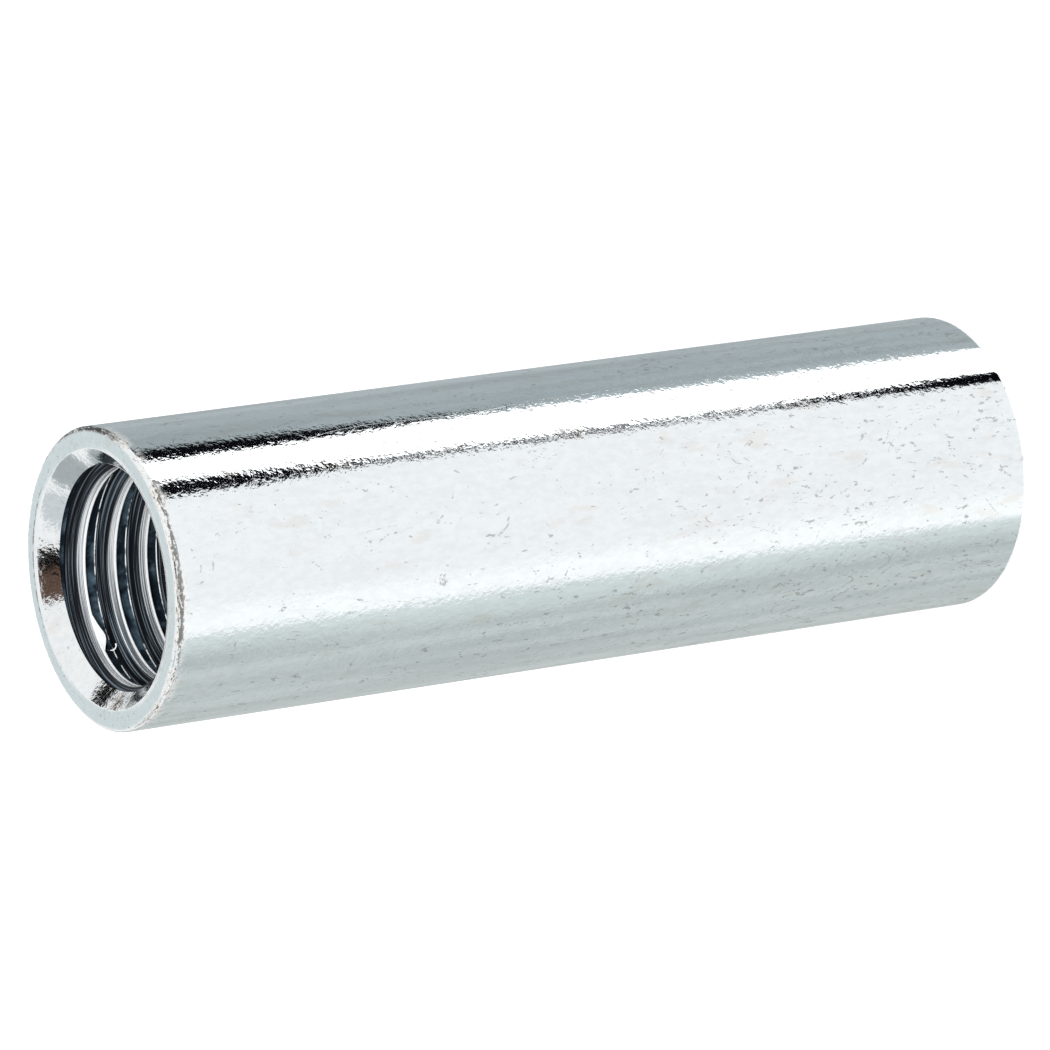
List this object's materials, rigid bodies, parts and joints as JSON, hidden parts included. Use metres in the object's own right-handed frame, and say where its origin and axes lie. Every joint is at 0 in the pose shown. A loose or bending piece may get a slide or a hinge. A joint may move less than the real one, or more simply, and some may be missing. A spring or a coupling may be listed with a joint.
{
  "type": "coupling nut",
  "caption": "Long round coupling nut: a bright plated steel sleeve, threaded right through and countersunk at each mouth, that joins threaded rods end to end.",
  "frame": {"origin": "centre of the lower end face, on the bore's axis", "axes": "+Z along the bore, from the lower end to the upper end"},
  "size_m": [0.015, 0.015, 0.05],
  "materials": {
    "zinc_plated_steel": "bright zinc plating with a faint blue cast, lightly scratched"
  },
  "bodies": {
    "root": {"coupling_nut": "zinc_plated_steel"}
  },
  "joints": []
}
